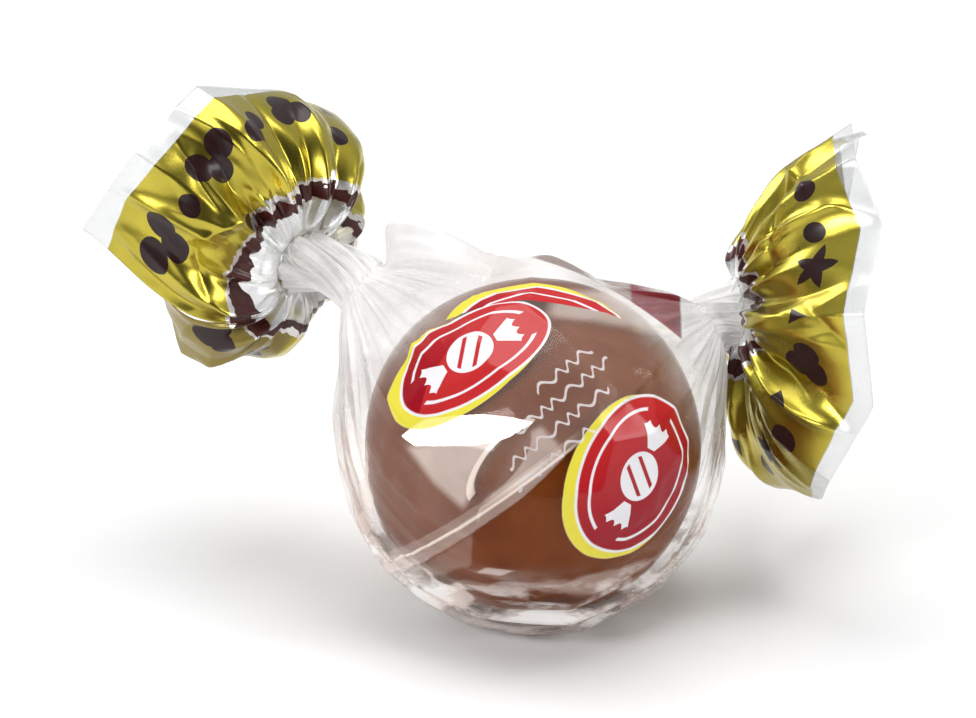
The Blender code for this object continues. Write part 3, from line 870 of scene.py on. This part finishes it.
def line_creases(around, onward, creases):
    """Straight creases in the flat sheet: the distance to each line gives its ridge, and
    the distance from its middle fades it out."""
    height = np.zeros_like(onward)
    for middle, along, turn, half, tall, width in creases:
        x, y, turn = around - middle, onward - along, np.radians(turn)
        off = -x * np.sin(turn) + y * np.cos(turn)
        run = x * np.cos(turn) + y * np.sin(turn)
        height += tall * MM * ridge(off, width) * np.exp(-np.abs(run / half) ** 4)
    return height


def small_creases(count, farthest):
    """Creases at random places of a sheet, most of them along it."""
    return [(RANDOM.uniform(0, farthest), RANDOM.uniform(1.0, 13.0), RANDOM.normal(90.0, 34.0),
             RANDOM.uniform(1.4, 4.0), 0.20 * RANDOM.normal(), RANDOM.uniform(0.4, 1.3))
            for _ in range(count)]


def fan_film(end, ribs, creases):
    """A fan and the places of its points on the flat film: its panels, with pleats that
    spread out of the neck and die away to the rim, and creases across them."""
    sheet, around, length = fan_panels(end, ribs)
    share = np.linspace(0.0, 1.0, FAN_ROWS)
    turn, rows = np.meshgrid(2 * np.pi * around / around[-1], share)
    height = 0.0
    for count, tall, fades in FAN_PLEATS:
        wave = folded_wave(uneven_phase(count, turn, 2.4) + 0.8 * rows)
        height = height + tall * MM * wave * smooth(rows, 0.0, 0.16) * (1 - smooth(rows, 0.2 * fades, fades))
    onward = rows * length * FAN_LENGTH / MM
    places = np.stack([np.broadcast_to(around, onward.shape), onward], axis=-1)
    creases = (*creases, *small_creases(FAN_SMALL_CREASES, around[-1]))
    height += line_creases(places[..., 0], places[..., 1], creases) * smooth(rows, 0.05, 0.2)
    return sheet + height[..., None] * sheet_normal(sheet, end["turn"]), places


def dark_spots(film, flat, around, onward, motifs):
    """1 and more on the dots, the stars, whose edge is a power of how near the angle is to
    one of five points, and the triangles, which narrow as they go on."""
    dots, stars, triangles = motifs
    spots = 0.0
    for right, along, radius in dots:
        spots = (film.vector("DISTANCE", flat, (right, along, 0.0), output=1) < radius) + spots
    for right, along, size in stars:
        u, v = around - right, onward - along
        angle = u.turn_to(v) * (5 / (2 * np.pi)) + 10.0
        tip = abs(angle - angle.floor() - 0.5) * 2.0
        spots = ((u ** 2 + v ** 2) < (tip ** 1.4 * 0.54 + 0.46) ** 2 * size ** 2) + spots
    for right, along, size in triangles:
        u, v = around - right, onward - along
        spots = (abs(u) < (size - v) * 0.5) * (v > -0.5 * size) + spots
    return spots


def printed_fan_film(name, motifs, early, dull_band_width, gold, dark, metal, roughness):
    """The fan's film from one side: clear, then a brown line, a silver one, gold with dark
    dots, stars and triangles, and the clear margin.  The lines come some mm early, and
    the first mm round it, from the free edge, are given the dull back colour."""
    film = Finish(bpy.data.materials.new(name))
    flat = film.add("ShaderNodeUVMap", {"uv_map": "film"})
    place = film.place()
    around, onward = film.part(flat, 0), film.part(flat, 1)
    cloud = film.noise(place, scale=260.0, detail=3.0)
    grain = film.noise(place, scale=5200.0, detail=2.0)
    crumple = film.noise(place, scale=190.0, detail=2.5, ridged=True)
    shifted = onward + film.noise(flat, scale=0.9, detail=2.0) * LINE_SWAY + (early - 0.5 * LINE_SWAY)
    on_gold = (shifted > GOLD_FROM) * (onward < MARGIN)
    silver = (shifted > SILVER_FROM) * (shifted < GOLD_FROM)
    brown = (shifted > BROWN_FROM) * (shifted < SILVER_FROM)
    ink = (dark_spots(film, flat, around, onward, motifs) * on_gold + brown).smaller(1.0)
    opaque = (on_gold + silver + brown).smaller(1.0)
    dull = around.step(dull_band_width + 0.2, dull_band_width - 0.2)
    uneven = film.mix(cloud.step(0.3, 0.7), gold, tuple(0.80 * part for part in gold))
    colour = film.mix(on_gold, FILM_WHITE, film.mix(dull, uneven, GOLD_BACK))
    colour = film.mix(onward.step(MARGIN - 0.1, MARGIN + 0.1), colour, MARGIN_GREY)
    colour = film.mix(silver, colour, SILVER)
    colour = film.mix(ink, colour, film.mix(brown, dark, BROWN_LINE))
    neck_white = onward.step(2.6, 0.0)
    cover = opaque.larger(film.glance(0.35) ** 2.5 * 0.6 + 0.26 + neck_white * 0.2)
    height = cloud * 0.5 + crumple * 0.45 + grain * 0.03
    shader = film.principled(
        Base_Color=colour, Metallic=(1 - ink) * (on_gold * (1 - dull * 0.6) * metal + (1 - on_gold) * 0.8),
        Roughness=cloud * 0.12 + roughness, Specular_IOR_Level=0.3, Coat_Weight=0.12, Coat_Roughness=0.08,
        Normal=film.bump(height, distance=0.22 * MM, strength=0.6))
    return film.end(film.over_clear(cover, shader))


for name, end, ribs, creases, motifs, early, dull_band_width in FANS:
    sheet, places = fan_film(end, ribs, creases)
    order = slice(None, None, -end["turn"])  # so that the faces look outward
    fan = piece_from_grid(name, (sheet + CENTRE)[order], places[order], closed=False)
    fan.data.materials.append(printed_fan_film(name + "_gold", motifs, early, dull_band_width, *OUTSIDE))
    fan.data.materials.append(printed_fan_film(name + "_back", motifs, early, NO_DULL_BAND, *INSIDE))
    wall = fan.modifiers.new("film", "SOLIDIFY")
    wall.thickness, wall.offset, wall.material_offset = SHEET_THICKNESS, -1.0, 1
    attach(fan, "root")
    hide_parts("wrapped_candy")

# ------------------------------
# The studio: a pale floor, four soft lamps round it, and the camera that looks down on
# the sweet from the front, as the photograph does.
# ------------------------------

AIM = np.array([-2.94, 2.45, 16.86]) * MM  # what the middle of the picture shows
FRAME_WIDTH = 65.07 * MM  # how much of the object's plane it shows
CAMERA_DISTANCE = 0.62
NEAREST, FARTHEST = 0.01, 10.0  # what the camera sees
SENSOR = 36.0
SOFTBOXES = (
    # name, where it stands, its width and height (m), watts
    ("key", (-0.265, -0.29, 0.23), 0.18, 0.11, 1.1),
    ("overhead", (0.04, 0.06, 0.46), 0.44, 0.28, 1.5),
    ("right_side", (0.40, -0.12, 0.17), 0.12, 0.26, 0.7),
    ("left_back", (-0.36, 0.26, 0.26), 0.18, 0.20, 0.6),
)
FLOOR_HALF = 2.0
PALE_CARD = ((0.83, 0.83, 0.83), (0.86, 0.86, 0.86))
DIM_FRONT = (0.045, 0.045, 0.048)
BRIGHT_BACK = (0.55, 0.56, 0.57)


def aimed(place, target):
    """The turn that points an object's -Z from its place to the target, its top up."""
    return (Vector(target) - Vector(place)).to_track_quat("-Z", "Y").to_euler()


def matt_floor():
    """Smooth pale card with the faintest unevenness."""
    card = Finish(bpy.data.materials.new("pale_floor"))
    colour = card.mix(card.noise(card.place(), scale=9.0, detail=2.0), *PALE_CARD)
    return card.end(card.principled(Base_Color=colour, Roughness=0.7, Specular_IOR_Level=0.2))


def white_backdrop():
    """Light from all round: bright behind the sweet and above it, where the photograph
    has its white background, and dim on the viewer's side."""
    sky = Finish(bpy.data.worlds.new("studio"))
    way = sky.add("ShaderNodeTexCoord", output=0)
    behind, above = sky.part(way, 1), sky.part(way, 2)
    colour = sky.mix((behind + above * 0.5).step(-0.35, 0.75), DIM_FRONT, BRIGHT_BACK)
    return sky.end(sky.add("ShaderNodeBackground", None, {"Color": colour, "Strength": 1.0}),
                   "ShaderNodeOutputWorld")


corners = [(x * FLOOR_HALF, y * FLOOR_HALF, 0) for x, y in ((-1, -1), (1, -1), (1, 1), (-1, 1))]
floor_mesh = bpy.data.meshes.new("floor")
floor_mesh.from_pydata(corners, [], [(0, 1, 2, 3)])
floor_mesh.materials.append(matt_floor())
floor = placed("floor", floor_mesh)

for name, place, width, height, watts in SOFTBOXES:
    lamp = bpy.data.lights.new(name, "AREA")
    lamp.shape, lamp.size, lamp.size_y, lamp.energy = "RECTANGLE", width, height, watts
    softbox = placed(name, lamp)
    softbox.location, softbox.rotation_euler = place, aimed(place, AIM)

bpy.context.scene.world = white_backdrop()

camera_data = bpy.data.cameras.new("camera")
camera_data.sensor_width = SENSOR
camera_data.lens = SENSOR * CAMERA_DISTANCE / FRAME_WIDTH
camera_data.clip_start, camera_data.clip_end = NEAREST, FARTHEST
camera = placed("camera", camera_data)
camera.location = AIM + CAMERA_DISTANCE * view_axes()[0]
camera.rotation_euler = aimed(camera.location, AIM)
bpy.context.scene.camera = camera
bpy.context.scene.view_settings.view_transform = "Standard"
